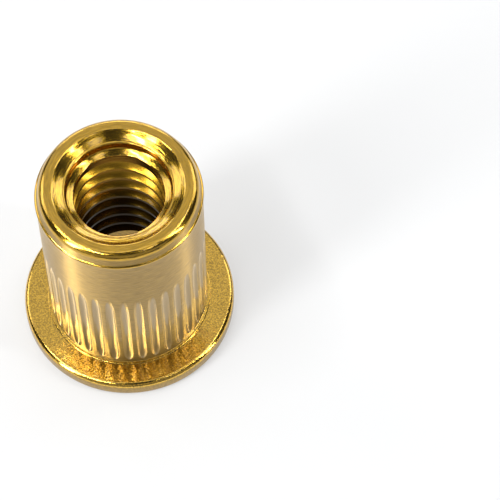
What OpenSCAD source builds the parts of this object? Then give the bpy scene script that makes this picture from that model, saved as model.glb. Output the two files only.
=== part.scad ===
// Rivet nut with a flat head: one cold-formed piece of metal.
// The nut stands on its flange, threaded end up. Its axis is Z, and the origin
// is the centre of the flange's outer face. All sizes are in millimetres.

/* [Barrel] */
// Diameter of the smooth barrel
body_d = 9; // [8.4:0.1:9.6]
// Height from the flange's outer face to the threaded end
length = 13.3; // [12:0.1:20]

/* [Flange] */
// Diameter of the flange
flange_d = 12; // [11.2:0.1:14]
// Thickness of the flange
flange_t = 1.1; // [0.8:0.1:1.6]
// Rounding of the rim on the side that bears on the sheet
rim_bearing_r = 0.3; // [0.1:0.05:0.35]
// Rounding of the rim on the outer side
rim_outer_r = 0.3; // [0.1:0.05:0.35]
// How far the root ring under the flange stands out from the barrel
root_ring_proud = 0.17; // [0.1:0.01:0.2]
// Height of the root ring
root_ring_h = 0.1; // [0.1:0.02:0.3]

/* [Threaded end] */
// Length of the narrower nose at the threaded end
nose_len = 0.76; // [0.7:0.02:1.6]
// How far the nose's foot is set in from the barrel
nose_inset = 0.05; // [0.02:0.01:0.12]
// How much the nose narrows from its foot to its top
nose_taper = 0.09; // [0.02:0.01:0.16]
// How far the collar below the nose stands out from the barrel
collar_proud = 0.05; // [0.03:0.01:0.08]
// Height of the collar
collar_h = 0.14; // [0.12:0.02:0.3]
// Rounding of the nose's outer edge
nose_edge_r = 0.47; // [0.2:0.01:0.5]
// Diameter of the wide countersink at the end face
mouth_d = 7.2; // [6.6:0.1:7.6]
// Depth of the wide countersink
mouth_depth = 0.35; // [0.25:0.05:0.6]
// Depth of the steeper step at the countersink's edge, which is half as wide again
mouth_step = 0.18; // [0.05:0.01:0.2]
// Diameter of the flat bottom of the wide countersink
ledge_d = 6; // [6:0.05:6.2]
// Rounding of the edge between the flat bottom and the throat
throat_edge_r = 0.1; // [0.05:0.01:0.1]
// Diameter of the throat between the wide countersink and the thread
throat_d = 5.76; // [5.5:0.02:5.8]
// Length of the throat
throat_len = 0.45; // [0.3:0.05:1]
// Height of the shallow cone from the throat in to the thread
entry_cone_h = 0.16; // [0.1:0.02:0.3]

/* [Thread] */
// Diameter of the hole at the thread's crests (M6 internal thread)
thread_minor_d = 4.9; // [4.6:0.05:5.2]
// Length of the threaded hole
thread_len = 8.4; // [6:0.1:8.8]

/* [Crush zone] */
// Diameter of the wide bore between the flange and the thread
crush_bore_d = 7; // [6.6:0.1:7.4]
// Height of the cone between the wide bore and the thread
crush_cone_h = 0.6; // [0.3:0.1:1]
// Broken edge of the wide bore at the flange
bore_break = 0.2; // [0.1:0.05:0.3]

/* [Flutes] */
// Number of flutes round the barrel
flute_count = 36; // [24:1:38]
// Radius of a flute's round section
flute_r = 0.28; // [0.24:0.02:0.32]
// Depth of a flute below the barrel's surface
flute_depth = 0.16; // [0.1:0.02:0.2]
// Gap between the flange and the flutes' round ends
flute_gap = 0.35; // [0.35:0.05:0.8]
// Length over which a flute runs out to its pointed end
flute_run_out = 1.8; // [1:0.1:2.4]
// Smooth band between the flutes' points and the nose
plain_band = 4; // [3:0.1:4.5]

/* [Hidden] */
$fn = 96;

body_r = body_d / 2;
flange_r = flange_d / 2;
nose_r = body_r - nose_inset;
root_ring_r = body_r + root_ring_proud;
root_ring_round = min(root_ring_proud, root_ring_h) / 2;
collar_r = body_r + collar_proud;
shoulder_z = length - nose_len;
nose_top_r = nose_r - nose_taper;
// The nose's edge rounding, limited so that a flat end face is left inside it
nose_edge = min(nose_edge_r, 0.7 * (nose_top_r - mouth_d / 2));
// The slope of the nose's side, which starts at its foot and meets the rounding
nose_slope = acos(nose_edge / norm([nose_taper + nose_edge, nose_len - nose_edge]))
    - atan2(nose_len - nose_edge, nose_taper + nose_edge);
ledge_z = length - mouth_depth;
thread_top_z = ledge_z - throat_len - entry_cone_h;
thread_bottom_z = thread_top_z - thread_len;
crush_top_z = thread_bottom_z - crush_cone_h;

flute_axis_r = body_r - flute_depth + flute_r;
flute_start_z = flange_t + flute_gap;
flute_tip_z = shoulder_z - plain_band;
run_out_z = flute_tip_z - flute_run_out;
// Radius of the arc on which a flute rises from full depth to the surface
run_out_r = (pow(flute_run_out, 2) + pow(flute_depth, 2)) / (2 * flute_depth);
// Turn of that arc, a third more than it needs, so that the cut leaves the barrel
run_out_turn = 1.33 * asin(flute_run_out / run_out_r);
// How far the cutters of the hole reach past the end faces
overrun = 1;

// The sliver that a rounding of radius r takes off a corner at [0, 0] of a
// profile whose material lies to the left of and below the corner
module corner_waste(r) {
    difference() {
        translate([-r, -r]) square(2 * r);
        translate([-r, -r]) circle(r);
    }
}

// A disc's half section from z = 0 up, with its rim rounded above and below
module rounded_rim_section(rim_r, height, top_r, low_r) {
    difference() {
        square([rim_r, height]);
        if (top_r > 0) translate([rim_r, height]) corner_waste(top_r);
        if (low_r > 0) translate([rim_r, 0]) mirror([0, 1]) corner_waste(low_r);
    }
}

// Half section of the outside: flange, root ring, barrel, collar and nose
module outer_section() {
    rounded_rim_section(flange_r, flange_t, rim_bearing_r, rim_outer_r);
    rounded_rim_section(root_ring_r, flange_t + root_ring_h, root_ring_round, 0);
    square([body_r, shoulder_z]);
    translate([0, shoulder_z - collar_h])
        rounded_rim_section(collar_r, collar_h, collar_proud + nose_inset, 0);
    translate([0, shoulder_z])
        rounded_rim_section(nose_top_r, nose_len, nose_edge, 0);
    translate([0, shoulder_z])
        polygon([
            [0, 0],
            [nose_r, 0],
            [nose_top_r - nose_edge * (1 - cos(nose_slope)), nose_len - nose_edge * (1 - sin(nose_slope))],
            [0, nose_len - nose_edge * (1 - sin(nose_slope))]
        ]);
}

// Half section of the stepped through hole, from the flange to the mouth
module hole_section() {
    polygon([
        [0, -overrun],
        [crush_bore_d / 2 + bore_break + overrun, -overrun],
        [crush_bore_d / 2 + bore_break, 0],
        [crush_bore_d / 2, bore_break],
        [crush_bore_d / 2, crush_top_z],
        [thread_minor_d / 2, thread_bottom_z],
        [thread_minor_d / 2, thread_top_z],
        [throat_d / 2, thread_top_z + entry_cone_h],
        [throat_d / 2, ledge_z],
        [ledge_d / 2, ledge_z],
        [mouth_d / 2 - 1.5 * mouth_step, length - mouth_step],
        [mouth_d / 2, length],
        [mouth_d / 2, length + overrun],
        [0, length + overrun]
    ]);
    translate([throat_d / 2, ledge_z]) mirror([1, 0]) corner_waste(throat_edge_r);
}

// Straight part of a flute: a round cutter along Z with a ball at its low end
module flute_straight() {
    straight_len = run_out_z - flute_start_z - flute_r;
    translate([flute_axis_r, 0, flute_start_z + flute_r])
        rotate_extrude()
            intersection() {
                union() {
                    circle(flute_r);
                    square([flute_r, straight_len]);
                }
                translate([0, -flute_r]) square([flute_r, flute_r + straight_len]);
            }
}

// Run-out of a flute: the same round cutter on an arc that leaves the barrel
module flute_end() {
    translate([flute_axis_r + run_out_r, 0, run_out_z])
        rotate([90, 0, 0])
            rotate([0, 0, 180 - run_out_turn])
                rotate_extrude(angle = run_out_turn)
                    translate([run_out_r, 0]) circle(flute_r);
}

// One cutter at each flute's place round the barrel
module round_the_barrel() {
    for (i = [0 : flute_count - 1])
        rotate([0, 0, (i + 0.5) * 360 / flute_count]) children();
}

// The nut, formed in one piece: turned outline with a stepped hole, from which
// the straight part of every flute is cut first and its run-out after that
module rivet_nut() {
    color([0.80, 0.64, 0.24])
        difference() {
            difference() {
                rotate_extrude()
                    difference() {
                        outer_section();
                        hole_section();
                    }
                round_the_barrel() flute_straight();
            }
            round_the_barrel() flute_end();
        }
}

rivet_nut();
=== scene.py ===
from math import acos, atan2, cos, degrees, hypot, pi, radians, sin, sqrt, tan

import bpy
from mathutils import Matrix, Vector


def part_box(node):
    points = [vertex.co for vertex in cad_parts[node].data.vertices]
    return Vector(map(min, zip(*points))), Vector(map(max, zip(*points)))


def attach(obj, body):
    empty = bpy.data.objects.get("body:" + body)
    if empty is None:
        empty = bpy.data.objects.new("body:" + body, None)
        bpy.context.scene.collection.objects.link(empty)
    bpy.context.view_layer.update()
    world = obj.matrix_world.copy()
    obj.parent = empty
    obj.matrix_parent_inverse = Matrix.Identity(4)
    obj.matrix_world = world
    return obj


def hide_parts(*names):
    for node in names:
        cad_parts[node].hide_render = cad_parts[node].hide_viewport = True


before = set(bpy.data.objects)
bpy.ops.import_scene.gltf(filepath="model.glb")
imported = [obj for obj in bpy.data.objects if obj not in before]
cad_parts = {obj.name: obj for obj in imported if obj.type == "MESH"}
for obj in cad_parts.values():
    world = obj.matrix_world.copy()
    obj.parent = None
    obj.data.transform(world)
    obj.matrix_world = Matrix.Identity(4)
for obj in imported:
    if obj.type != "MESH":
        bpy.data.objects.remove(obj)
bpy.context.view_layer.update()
bpy.ops.object.select_all(action="DESELECT")
mm = 0.001
nut_low, nut_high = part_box("rivet_nut")
nut_middle = (nut_low + nut_high) / 2


# Camera: a long lens that looks down on the nut's threaded end from the front. The
# nut stands to the left in its view, so the lens is aimed at a point beside it.
camera_distance = 145.8 * mm
camera_elevation = radians(61.37)
camera_roll = radians(-0.966)
aim_point = nut_middle + Vector((6.89, -1.095, 0)) * mm
lens_length, sensor_width = 188.9, 36
nearest_seen, farthest_seen = 1 * mm, 10

camera_place = nut_middle + camera_distance * Vector((0, -cos(camera_elevation), sin(camera_elevation)))
bpy.ops.object.camera_add(location=camera_place)
camera = bpy.context.object
camera.name = "camera"
camera.rotation_euler = (aim_point - camera_place).to_track_quat("-Z", "Y").to_euler()
camera.rotation_euler.rotate_axis("Z", camera_roll)
camera.data.sensor_width = sensor_width
camera.data.lens = lens_length
camera.data.clip_start = nearest_seen
camera.data.clip_end = farthest_seen
bpy.context.scene.camera = camera


# Floor: a sheet of smooth white board that the nut stands on. It runs far past the
# view on every side, so no edge shows. Its own white is raised where it is looked
# at, also in the metal, and the nut's shadow stays on it.
floor_size = 3.0
board_colour = (0.43, 0.435, 0.44)
board_roughness = 0.9
raised_white = 0.4

bpy.ops.mesh.primitive_plane_add(size=floor_size, location=(0, 0, nut_low.z))
floor = bpy.context.object
floor.name = "floor"


def white_board():
    """Pale board whose white is raised for the eye, for metal and for glass."""
    material = bpy.data.materials.new("white_board")
    material.use_nodes = True
    nodes, links = material.node_tree.nodes, material.node_tree.links
    shader = nodes["Principled BSDF"]
    shader.inputs["Base Color"].default_value = (*board_colour, 1)
    shader.inputs["Roughness"].default_value = board_roughness
    rays = nodes.new("ShaderNodeLightPath")
    looked_at = rays.outputs["Is Camera Ray"]
    for kind in ("Is Glossy Ray", "Is Transmission Ray"):
        either = nodes.new("ShaderNodeMath")
        either.operation = "MAXIMUM"
        links.new(looked_at, either.inputs[0])
        links.new(rays.outputs[kind], either.inputs[1])
        looked_at = either.outputs["Value"]
    raised = nodes.new("ShaderNodeMath")
    raised.operation = "MULTIPLY"
    raised.inputs[1].default_value = raised_white
    links.new(looked_at, raised.inputs[0])
    shader.inputs["Emission Color"].default_value = (1, 1, 1, 1)
    links.new(raised.outputs["Value"], shader.inputs["Emission Strength"])
    return material


floor.data.materials.append(white_board())


# Light: softboxes to the left, the right, the back and overhead, in a dark room. Each
# is set by the part of the sky it fills, in degrees, and by how bright it looks.
softbox_distance = 0.4
room_brightness = 0.04


def softbox(name, azimuth, elevation, across, tall, brightness):
    """A lamp that faces the nut. Its azimuth is counted from the front to the right."""
    azimuth, elevation = radians(azimuth), radians(elevation)
    toward = Vector((sin(azimuth) * cos(elevation), -cos(azimuth) * cos(elevation), sin(elevation)))
    bpy.ops.object.light_add(type="AREA", location=nut_middle + toward * softbox_distance)
    lamp = bpy.context.object
    lamp.name = name
    lamp.rotation_euler = (-toward).to_track_quat("-Z", "Y").to_euler()
    lamp.data.shape = "RECTANGLE"
    lamp.data.size = 2 * softbox_distance * tan(radians(across / 2))
    lamp.data.size_y = 2 * softbox_distance * tan(radians(tall / 2))
    lamp.data.energy = brightness * pi * lamp.data.size * lamp.data.size_y
    lamp.visible_camera = False


softbox("left_strip", -62, 30, 12, 40, 14)
softbox("right_strip", 69, 32, 4, 46, 15)
softbox("left_overhead", -70, 62, 40, 4, 25)
softbox("right_overhead", 95, 62, 30, 5, 6)
softbox("back_softbox", 180, 50, 66, 60, 0.68)
softbox("back_strip", 180, 16, 50, 14, 2.6)
softbox("back_left_softbox", -125, 34, 24, 26, 2.2)
softbox("back_right_softbox", 125, 34, 24, 26, 2.2)
softbox("front_softbox", 0, 30, 90, 30, 0.35)
softbox("front_left_softbox", -38, 62, 12, 10, 2.4)
softbox("front_right_softbox", 38, 62, 12, 10, 2.4)
softbox("top_softbox", 180, 87, 60, 16, 1.2)

world = bpy.data.worlds.new("room")
bpy.context.scene.world = world
world.use_nodes = True
room = world.node_tree.nodes["Background"]
room.inputs["Color"].default_value = (1, 1, 1, 1)
room.inputs["Strength"].default_value = room_brightness
bpy.context.scene.view_settings.view_transform = "Standard"


# Nut: one piece of yellow metal, pressed and turned to shape. First comes a slice of
# the whole nut as wide as one flute: its half section, drawn point by point and spun.
flange_r, flange_t = 6.0, 1.1
rim_outer_r, rim_bearing_r, rim_bearing_end = 0.3, 0.3, 84
rim_run_out = ((0.36, 0.004), (0.5, 0.001), (0.54, 0))
barrel_r = 4.5
root_ring_r, root_ring_top, root_ring_round = 4.67, 1.2, 0.05
collar_r, collar_z, collar_round = 4.55, 12.4, 0.095
shoulder_z, end_z = 12.54, 13.3
nose_foot_r, nose_top_r, nose_edge_r, nose_slope = 4.45, 4.36, 0.47, 14.4
mouth_r, mouth_flat = 3.6, 0.11
mouth_edge_r, mouth_edge_out, mouth_edge_end = 0.25, 0.074, 123
mouth_cone = ((0.37, 0.197), (0.33, 0.171), (0.28, 0.144), (0.12, 0.062), (0.05, 0.026), (0.01, 0.006))
ledge_r, ledge_z = 3.0, 12.95
throat_r, throat_edge_r, throat_foot_z = 2.88, 0.1, 12.5
hole_r, thread_top_z, thread_bottom_z = 2.45, 12.34, 3.94
crush_r, crush_top_z, bore_break = 3.5, 3.34, 0.2

flute_count = 36
cutter_r, cutter_tip, flute_depth = 0.28, 0.8, 0.16
flute_start_z, run_out_start_z, flute_tip_z = 1.47, 6.74, 8.54
pitch_angle = 360 / flute_count
tip_rise = 0.9 * cutter_tip
tip_z = flute_start_z + tip_rise
slice_columns = 14
weld_gap = 0.001 * mm


def arc(centre_r, centre_z, radius, first, last, steps):
    """Points on an arc of the half section, angles in degrees from the +r direction."""
    angles = [radians(first + (last - first) * i / steps) for i in range(steps + 1)]
    return [(centre_r + radius * cos(a), centre_z + radius * sin(a)) for a in angles]


def flute_rows():
    """Heights of the rows across the flutes: close together at both ends."""
    low_end = [tip_z - tip_rise * cos(radians(a)) for a in range(0, 90, 13)]
    run_out = flute_tip_z - run_out_start_z
    straight = [tip_z + (run_out_start_z - tip_z) * i / 8 for i in range(8)]
    high_end = [run_out_start_z + run_out * sin(radians(a)) for a in range(0, 91, 9)]
    above = [flute_tip_z + rise for rise in (0.06, 0.15, 0.35, 0.8)]
    return low_end + straight + high_end + above


def half_section():
    """The outline of one half section, as (radius, height) in millimetres.

    It runs out along the flange's outer face, up the outside and down the hole. Points
    a few hundredths beside a corner or a rounding's end keep it crisp.
    """
    # Flange and root ring
    points = [(crush_r + bore_break, 0), (flange_r - rim_outer_r - 0.05, 0)]
    points += arc(flange_r - rim_outer_r, rim_outer_r, rim_outer_r, -90, 0, 7)
    points += arc(flange_r - rim_bearing_r, flange_t - rim_bearing_r, rim_bearing_r, 0, rim_bearing_end, 7)
    points += [(flange_r - inward, flange_t - below) for inward, below in rim_run_out]
    points += [(root_ring_r + 0.04, flange_t), (root_ring_r + 0.006, flange_t + 0.006)]
    points += arc(root_ring_r - root_ring_round, root_ring_top - root_ring_round, root_ring_round, 0, 90, 4)

    # Barrel and collar
    points += [(barrel_r + 0.03, root_ring_top), (barrel_r + 0.004, root_ring_top + 0.008)]
    points += [(barrel_r, root_ring_top + 0.05)]
    points += [(barrel_r, z) for z in flute_rows()]
    points += [(barrel_r, collar_z - 1.5), (barrel_r, collar_z - 0.03), (barrel_r + 0.003, collar_z - 0.003)]
    points += [(collar_r - 0.006, collar_z + 0.004), (collar_r, collar_z + 0.02)]
    points += arc(collar_r - collar_round, shoulder_z - collar_round, collar_round, 5, 85, 5)

    # Nose and end face
    points += [(nose_foot_r, shoulder_z + 0.006), (nose_foot_r - 0.003, shoulder_z + 0.02)]
    points += [(nose_foot_r - 0.016, shoulder_z + 0.07), (nose_top_r - 0.007, end_z - nose_edge_r + 0.08)]
    points += arc(nose_top_r - nose_edge_r, end_z - nose_edge_r, nose_edge_r, nose_slope, 90, 12)
    points += [(nose_top_r - nose_edge_r - 0.03, end_z), (mouth_r + mouth_flat, end_z)]

    # Countersink and throat
    points += arc(mouth_r + mouth_edge_out, end_z - mouth_edge_r, mouth_edge_r, 90, mouth_edge_end, 6)
    points += [(ledge_r + outward, ledge_z + rise) for outward, rise in mouth_cone]
    points += arc(throat_r + throat_edge_r, ledge_z - throat_edge_r, throat_edge_r, 90, 172, 7)
    points += [(throat_r - 0.002, ledge_z - 0.25), (throat_r - 0.01, throat_foot_z + 0.08)]
    points += [(throat_r - 0.03, throat_foot_z + 0.03), (throat_r - 0.08, throat_foot_z - 0.015)]

    # Hole and crush zone
    points += [(hole_r + 0.08, thread_top_z + 0.028), (hole_r + 0.03, thread_top_z + 0.004)]
    points += [(hole_r + 0.006, thread_top_z - 0.02), (hole_r, thread_top_z - 0.05)]
    points += [(hole_r, thread_top_z - 0.1), (hole_r, thread_bottom_z)]
    points += [(crush_r, crush_top_z), (crush_r, bore_break)]
    return points


def drawn_loop(name, points, lift):
    """A new object in Edit mode: one closed line through points, lifted by a height."""
    bpy.ops.object.select_all(action="DESELECT")
    bpy.ops.mesh.primitive_plane_add(size=mm)
    loop = bpy.context.object
    loop.name = name
    bpy.ops.object.mode_set(mode="EDIT")
    bpy.ops.mesh.merge(type="CENTER")
    bpy.ops.transform.translate(value=(points[0][0] * mm, 0, (points[0][1] + lift) * mm))
    for (r0, z0), (r1, z1) in zip(points, points[1:]):
        step = ((r1 - r0) * mm, 0, (z1 - z0) * mm)
        bpy.ops.mesh.extrude_region_move(TRANSFORM_OT_translate={"value": step})
    bpy.ops.mesh.select_all(action="SELECT")
    bpy.ops.mesh.edge_face_add()
    bpy.ops.mesh.delete(type="ONLY_FACE")
    return loop


nut = drawn_loop("rivet_nut_metal", half_section(), lift=0)
bpy.ops.mesh.select_all(action="SELECT")
bpy.ops.mesh.spin(steps=slice_columns, angle=radians(pitch_angle), center=(0, 0, 0), axis=(0, 0, 1))
bpy.ops.object.mode_set(mode="OBJECT")

# The flute is pressed into the slice: a round-nosed tool sinks into the barrel, runs
# straight and climbs out on a long arc. Its edges are slightly rounded.
edge_width, widest_edge = 0.4, 0.35
edge_sink = 0.25
inner_columns = (0.36, 0.7)
narrowest = 0.3
relax_height = 0.8
row_clearance = 0.02
run_out_r = ((flute_tip_z - run_out_start_z) ** 2 + flute_depth ** 2) / (2 * flute_depth)


def tool_at(z):
    """Distance of the tool's middle from the nut's axis, and its radius, at a height."""
    middle = barrel_r - flute_depth + cutter_r
    if z < tip_z:
        return middle, cutter_r * sqrt(max(0, 1 - ((tip_z - z) / cutter_tip) ** 2))
    climb = max(0, z - run_out_start_z)
    return middle + run_out_r - sqrt(max(0, run_out_r ** 2 - climb ** 2)), cutter_r


def flute_half_angle(z):
    """Half the flute's width at the barrel's surface, in degrees."""
    if z < flute_start_z or z > flute_tip_z:
        return 0
    middle, radius = tool_at(z)
    cosine = (middle ** 2 + barrel_r ** 2 - radius ** 2) / (2 * middle * barrel_r)
    return degrees(acos(cosine)) if cosine < 1 else 0


def column_angles(z):
    """Angles of the slice's columns from the flute's middle, and which of them bound it."""
    full = flute_half_angle((flute_start_z + run_out_start_z) / 2)
    half = full
    if flute_start_z <= z < flute_tip_z + relax_height:
        relaxed = max(0, z - flute_tip_z) / relax_height
        half = max(flute_half_angle(z), narrowest + (full - narrowest) * relaxed)
    edge = min(edge_width, widest_edge * half)
    inner, outer = half - edge, half + edge
    side = [0, *(share * inner for share in inner_columns), inner, half, outer]
    side += [(outer + pitch_angle / 2) / 2, pitch_angle / 2]
    return [-x for x in reversed(side[1:])] + side, inner, half


def pressed_radius(angle, z, inner, half):
    """Radius of the barrel's surface where the tool has pressed it."""
    nothing = 1e-6
    if flute_half_angle(z) == 0 or angle > half + nothing:
        return barrel_r
    middle, radius = tool_at(z)
    at = radians(min(angle, inner))
    reach = radius ** 2 - (middle * sin(at)) ** 2
    pressed = middle * cos(at) - sqrt(max(0, reach))
    depth = max(0, barrel_r - pressed)
    return barrel_r - (depth if angle <= inner + nothing else edge_sink * depth)


first_flute = -pitch_angle / 2
for vertex in nut.data.vertices:
    radius = hypot(vertex.co.x, vertex.co.y) / mm
    z = vertex.co.z / mm
    column = round(-degrees(atan2(vertex.co.y, vertex.co.x)) / pitch_angle * slice_columns)
    on_wall = abs(radius - barrel_r) < weld_gap / mm
    on_barrel = on_wall and root_ring_top + row_clearance < z < collar_z - row_clearance
    angles, inner, half = column_angles(z if on_barrel else 0)
    angle = angles[column]
    if on_barrel:
        radius = pressed_radius(abs(angle), z, inner, half)
    at = radians(first_flute - angle)
    vertex.co = Vector((radius * cos(at), radius * sin(at), z)) * mm

bpy.ops.object.mode_set(mode="EDIT")
bpy.ops.mesh.select_all(action="SELECT")
bpy.ops.mesh.spin(
    dupli=True, steps=flute_count - 1, angle=radians(pitch_angle * (flute_count - 1)),
    center=(0, 0, 0), axis=(0, 0, 1))
bpy.ops.mesh.select_all(action="SELECT")
bpy.ops.mesh.remove_doubles(threshold=weld_gap)
bpy.ops.mesh.normals_make_consistent(inside=False)
bpy.ops.object.mode_set(mode="OBJECT")


# Thread: a right-handed screw of one turn a millimetre, cut into the nut's hole with
# an M6 tap. The tap's last part turn at the mouth is shallower, so the thread fades.
thread_pitch = 1.0
flank_angle = 30
root_r, root_flat, root_round, tap_inner_r = 3.03, 0.125, 0.02, 2.36
tap_low_z, tap_high_z = 3.1, 12.1
tap_steps = 108
fade_turn, least_kept = 0.4, 0.05


def tap_section():
    """The tap's tooth at angle 0, as (radius, height) in millimetres."""
    flank = tan(radians(flank_angle))
    inner_half = root_flat / 2 + (root_r - tap_inner_r) * flank
    return [
        (tap_inner_r, -inner_half), (root_r - root_round, -root_flat / 2 - root_round * flank),
        (root_r, -root_flat / 4), (root_r, root_flat / 4),
        (root_r - root_round, root_flat / 2 + root_round * flank), (tap_inner_r, inner_half)]


tap = drawn_loop("tap", tap_section(), lift=tap_low_z)
bpy.ops.object.mode_set(mode="OBJECT")
tap_turns = tap_high_z - tap_low_z
winding = tap.modifiers.new("winding", "SCREW")
winding.axis = "Z"
winding.angle = 2 * pi * tap_turns
winding.screw_offset = thread_pitch * tap_turns * mm
winding.steps = round(tap_steps * tap_turns)
winding.render_steps = winding.steps
bpy.ops.object.modifier_apply(modifier=winding.name)

bpy.ops.object.mode_set(mode="EDIT")
bpy.ops.mesh.select_all(action="SELECT")
bpy.ops.mesh.remove_doubles(threshold=weld_gap)
bpy.ops.mesh.select_all(action="DESELECT")
bpy.ops.mesh.select_non_manifold()
bpy.ops.mesh.edge_face_add()
bpy.ops.mesh.select_all(action="SELECT")
bpy.ops.mesh.normals_make_consistent(inside=False)
bpy.ops.object.mode_set(mode="OBJECT")
for vertex in tap.data.vertices:
    turned = atan2(vertex.co.y, vertex.co.x) / (2 * pi)
    z = vertex.co.z / mm
    middle_z = tap_low_z + turned + round(z - tap_low_z - turned)
    kept = min(1, max(least_kept, (tap_high_z - middle_z) / fade_turn))
    radius = hypot(vertex.co.x, vertex.co.y) / mm
    scale = (tap_inner_r + (radius - tap_inner_r) * kept) / radius
    vertex.co.x, vertex.co.y = vertex.co.x * scale, vertex.co.y * scale

bpy.ops.object.select_all(action="DESELECT")
nut.select_set(True)
bpy.context.view_layer.objects.active = nut
tapping = nut.modifiers.new("tapping", "BOOLEAN")
tapping.operation = "DIFFERENCE"
tapping.solver = "EXACT"
tapping.object = tap
bpy.ops.object.modifier_apply(modifier=tapping.name)
bpy.data.objects.remove(tap)
crisp_angle = radians(35)
bpy.ops.object.shade_smooth_by_angle(angle=crisp_angle)


# Finishes: yellow metal under a thin clear film, in six kinds, set by how each part of the
# nut's surface was made. Three of them also carry painted shade: the barrel's greyer
# colour, the darker rim and the thread that darkens down the hole. Each face of the nut
# takes its kind from where it lies.
film_roughness, film_ior = 0.07, 1.5


def plated_metal(name, colour, roughness, film):
    """Yellow metal under a thin clear film, as a new material with its shader."""
    material = bpy.data.materials.new(name)
    material.use_nodes = True
    shader = material.node_tree.nodes["Principled BSDF"]
    shader.inputs["Base Color"].default_value = (*colour, 1)
    shader.inputs["Metallic"].default_value = 1
    shader.inputs["Roughness"].default_value = roughness
    shader.inputs["Coat Weight"].default_value = film
    shader.inputs["Coat Roughness"].default_value = film_roughness
    shader.inputs["Coat IOR"].default_value = film_ior
    return material, material.node_tree.nodes, material.node_tree.links, shader


def lathe_lines(nodes, links, fineness, sideways):
    """Noise drawn out round the nut's axis, as a lathe tool leaves it."""
    place = nodes.new("ShaderNodeTexCoord")
    split = nodes.new("ShaderNodeSeparateXYZ")
    links.new(place.outputs["Object"], split.inputs["Vector"])
    radius = nodes.new("ShaderNodeVectorMath")
    radius.operation = "LENGTH"
    flat = nodes.new("ShaderNodeCombineXYZ")
    links.new(split.outputs["X"], flat.inputs["X"])
    links.new(split.outputs["Y"], flat.inputs["Y"])
    links.new(flat.outputs["Vector"], radius.inputs[0])
    turn = nodes.new("ShaderNodeMath")
    turn.operation = "ARCTAN2"
    links.new(split.outputs["Y"], turn.inputs[0])
    links.new(split.outputs["X"], turn.inputs[1])
    along = nodes.new("ShaderNodeMath")
    along.operation = "MULTIPLY"
    along.inputs[1].default_value = sideways * mm
    links.new(turn.outputs["Value"], along.inputs[0])
    unrolled = nodes.new("ShaderNodeCombineXYZ")
    links.new(radius.outputs["Value"], unrolled.inputs["X"])
    links.new(along.outputs["Value"], unrolled.inputs["Y"])
    links.new(split.outputs["Z"], unrolled.inputs["Z"])
    lines = nodes.new("ShaderNodeTexNoise")
    lines.inputs["Scale"].default_value = fineness
    lines.inputs["Detail"].default_value = 3
    links.new(unrolled.outputs["Vector"], lines.inputs["Vector"])
    return lines.outputs["Fac"]


def bumped(nodes, links, shader, height, strength, depth):
    """Gives a shader the surface relief of a height pattern."""
    bump = nodes.new("ShaderNodeBump")
    bump.inputs["Strength"].default_value = strength
    bump.inputs["Distance"].default_value = depth * mm
    links.new(height, bump.inputs["Height"])
    links.new(bump.outputs["Normal"], shader.inputs["Normal"])


def grained(nodes, links, shader, fineness, tilt):
    """Gives a shader fine facets, each tilted its own way, as pressed metal has."""
    place = nodes.new("ShaderNodeTexCoord")
    facets = nodes.new("ShaderNodeTexVoronoi")
    facets.inputs["Scale"].default_value = fineness
    links.new(place.outputs["Object"], facets.inputs["Vector"])
    centred = nodes.new("ShaderNodeVectorMath")
    centred.operation = "SUBTRACT"
    centred.inputs[1].default_value = (0.5, 0.5, 0.5)
    links.new(facets.outputs["Color"], centred.inputs[0])
    tilted = nodes.new("ShaderNodeVectorMath")
    tilted.operation = "SCALE"
    tilted.inputs["Scale"].default_value = tilt
    links.new(centred.outputs["Vector"], tilted.inputs[0])
    surface = nodes.new("ShaderNodeNewGeometry")
    summed = nodes.new("ShaderNodeVectorMath")
    links.new(surface.outputs["Normal"], summed.inputs[0])
    links.new(tilted.outputs["Vector"], summed.inputs[1])
    unit = nodes.new("ShaderNodeVectorMath")
    unit.operation = "NORMALIZE"
    links.new(summed.outputs["Vector"], unit.inputs[0])
    links.new(unit.outputs["Vector"], shader.inputs["Normal"])


def coloured_by(nodes, links, shader, level, colour):
    """Scales a shader's colour by a level that varies over the surface."""
    tone = nodes.new("ShaderNodeVectorMath")
    tone.operation = "SCALE"
    tone.inputs[0].default_value = colour
    links.new(level.outputs["Result"], tone.inputs["Scale"])
    links.new(tone.outputs["Vector"], shader.inputs["Base Color"])


def toned(nodes, links, shader, pattern, colour, darkest, palest):
    """Varies a shader's colour between two levels along a noise pattern."""
    level = nodes.new("ShaderNodeMapRange")
    level.inputs["From Min"].default_value = 0.3
    level.inputs["From Max"].default_value = 0.7
    level.inputs["To Min"].default_value = darkest
    level.inputs["To Max"].default_value = palest
    links.new(pattern, level.inputs["Value"])
    coloured_by(nodes, links, shader, level, colour)


def speckled(nodes, links, shader, fineness, colour, darkest, palest):
    """Varies a shader's colour in fine grains."""
    place = nodes.new("ShaderNodeTexCoord")
    grain = nodes.new("ShaderNodeTexNoise")
    grain.inputs["Scale"].default_value = fineness
    grain.inputs["Detail"].default_value = 2
    links.new(place.outputs["Object"], grain.inputs["Vector"])
    toned(nodes, links, shader, grain.outputs["Fac"], colour, darkest, palest)


def turned_across(nodes, links, shader):
    """Spreads a shader's gloss up and down, as lines turned round the nut do."""
    shader.inputs["Anisotropic"].default_value = 1
    around = nodes.new("ShaderNodeTangent")
    around.direction_type = "RADIAL"
    around.axis = "Z"
    links.new(around.outputs["Tangent"], shader.inputs["Tangent"])
    shader.inputs["Anisotropic Rotation"].default_value = 0.25


def turned_band_painted_shade():
    """The barrel's outside, finely turned. Its greyer colour is partly painted shade, standing in for the
    dark surroundings that it reflects.
    """
    # Greyer, duller yellow: partly painted shade for the darker surroundings that the barrel reflects.
    colour = (0.52, 0.34, 0.1)
    material, nodes, links, shader = plated_metal("turned_band_painted_shade", colour, roughness=0.38, film=0.4)
    turned_across(nodes, links, shader)
    lines = lathe_lines(nodes, links, fineness=12000, sideways=0.6)
    toned(nodes, links, shader, lines, colour, darkest=0.8, palest=1.15)
    bumped(nodes, links, shader, lines, strength=1, depth=0.02)
    return material


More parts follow.
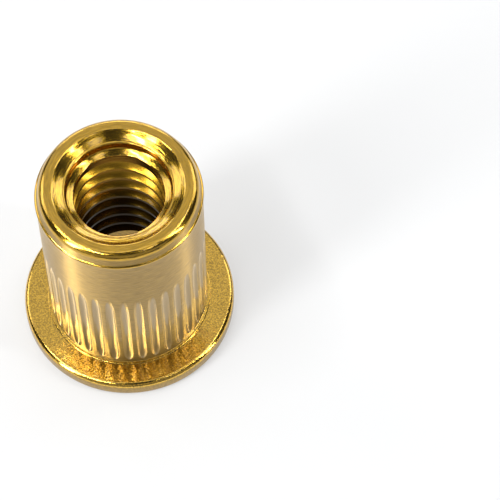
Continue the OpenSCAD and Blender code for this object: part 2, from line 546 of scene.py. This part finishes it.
def turned_end():
    """The nose, its end face and the countersink, turned bright."""
    colour = (0.6, 0.355, 0.035)
    material, nodes, links, shader = plated_metal("turned_end", colour, roughness=0.15, film=0.8)
    lines = lathe_lines(nodes, links, fineness=12000, sideways=0.5)
    toned(nodes, links, shader, lines, colour, darkest=0.8, palest=1.15)
    bumped(nodes, links, shader, lines, strength=0.9, depth=0.013)
    return material


def fluted_wall():
    """The flutes' pressed hollows."""
    colour = (0.54, 0.38, 0.16)
    material, nodes, links, shader = plated_metal("fluted_wall", colour, roughness=0.36, film=0.9)
    turned_across(nodes, links, shader)
    grained(nodes, links, shader, fineness=14000, tilt=0.03)
    return material


def pressed_flange():
    """The flange's faces and the crush zone, as the press leaves them."""
    colour = (0.74, 0.45, 0.06)
    material, nodes, links, shader = plated_metal("pressed_flange", colour, roughness=0.13, film=0.8)
    speckled(nodes, links, shader, fineness=13000, colour=colour, darkest=0.5, palest=1.35)
    grained(nodes, links, shader, fineness=16000, tilt=0.08)
    return material


def rim_painted_shade():
    """The lower edge of the flange's rim, dull. Its darker colour is painted shade, standing in for the
    shadowed floor beside it that it reflects.
    """
    # Darker yellow: painted shade of the floor's contact shadow, seen in the rim.
    colour = (0.4, 0.25, 0.05)
    material, nodes, links, shader = plated_metal("rim_painted_shade", colour, roughness=0.35, film=0.4)
    speckled(nodes, links, shader, fineness=9000, colour=colour, darkest=0.7, palest=1.2)
    return material


def tapped_metal_painted_shade():
    """The cut thread, with painted shade: its colour darkens with depth down the hole."""
    colour = (0.62, 0.35, 0.03)
    dark_z, bright_z, darkest = 7.5, 11.5, 0.04
    material, nodes, links, shader = plated_metal("tapped_metal_painted_shade", colour, roughness=0.25, film=0.12)
    place = nodes.new("ShaderNodeTexCoord")
    split = nodes.new("ShaderNodeSeparateXYZ")
    links.new(place.outputs["Object"], split.inputs["Vector"])
    # Painted shade: the colour is full at bright_z and falls to darkest at dark_z, deeper in the hole.
    level = nodes.new("ShaderNodeMapRange")
    level.inputs["From Min"].default_value = dark_z * mm
    level.inputs["From Max"].default_value = bright_z * mm
    level.inputs["To Min"].default_value = darkest
    links.new(split.outputs["Z"], level.inputs["Value"])
    coloured_by(nodes, links, shader, level, colour)
    lines = lathe_lines(nodes, links, fineness=5000, sideways=1.0)
    bumped(nodes, links, shader, lines, strength=0.3, depth=0.02)
    return material


band, end, fluted, pressed, rim, tapped = range(6)


def finish_at(radius, z):
    """Which finish a face has, from its radius and height in millimetres."""
    if radius < root_r + 0.01 and z < thread_top_z - 0.02:
        return tapped
    if radius > nose_top_r - 0.03 and shoulder_z + 0.01 < z < end_z - nose_edge_r + 0.12:
        return band
    if z > collar_z:
        return end
    if z > root_ring_top + row_clearance:
        if radius > barrel_r - 0.01:
            return band
        if radius > barrel_r - flute_depth - 0.02:
            return fluted
    # The rim's lower edge takes the darker colour of painted shade.
    if radius > flange_r - 0.15 and z < flange_t - 0.25:
        return rim
    return pressed


for finish in (turned_band_painted_shade(), turned_end(), fluted_wall(), pressed_flange(), rim_painted_shade(), tapped_metal_painted_shade()):
    nut.data.materials.append(finish)
for face in nut.data.polygons:
    face.material_index = finish_at(hypot(face.center.x, face.center.y) / mm, face.center.z / mm)

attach(nut, "root")
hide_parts("rivet_nut")
